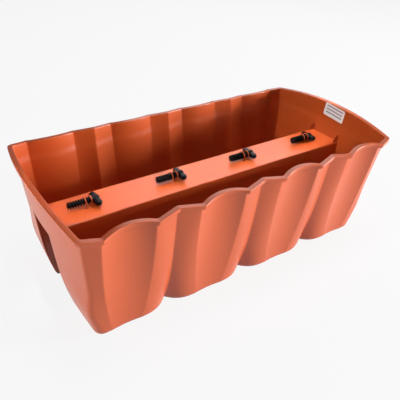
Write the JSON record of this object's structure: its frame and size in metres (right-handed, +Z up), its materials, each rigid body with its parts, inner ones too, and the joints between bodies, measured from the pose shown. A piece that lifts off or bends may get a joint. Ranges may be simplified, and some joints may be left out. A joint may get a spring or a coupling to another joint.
{
  "type": "railing window box",
  "caption": "Long fluted plastic planter box with a raised rail tunnel between its soil troughs, thumb screws stowed in hoops on the tunnel and a label inside an end wall.",
  "frame": {"origin": "centre of the footprint at the height of the two trough bottoms, which the box stands on", "axes": "+X along the box towards the labelled end, +Y towards the back long wall, +Z up"},
  "size_m": [0.601, 0.3016, 0.2099],
  "materials": {
    "terracotta_plastic": "glossy moulded polypropylene",
    "black_plastic": "semi-gloss moulded plastic",
    "label_paper": "coated paper"
  },
  "bodies": {
    "box": {"planter_box": "terracotta_plastic", "wall_label": "label_paper"},
    "screw_1": {"thumb_screw_1": "black_plastic"},
    "screw_2": {"thumb_screw_2": "black_plastic"},
    "screw_3": {"thumb_screw_3": "black_plastic"},
    "screw_4": {"thumb_screw_4": "black_plastic"}
  },
  "joints": [
    {"name": "screw_1_slide", "type": "slide", "parent": "box", "child": "screw_1", "axis": [1, 0, 0], "range_m": [0, 0.0385]},
    {"name": "screw_2_slide", "type": "slide", "parent": "box", "child": "screw_2", "axis": [1, 0, 0], "range_m": [0, 0.0385]},
    {"name": "screw_3_slide", "type": "slide", "parent": "box", "child": "screw_3", "axis": [1, 0, 0], "range_m": [0, 0.0385]},
    {"name": "screw_4_slide", "type": "slide", "parent": "box", "child": "screw_4", "axis": [1, 0, 0], "range_m": [0, 0.0385]}
  ]
}
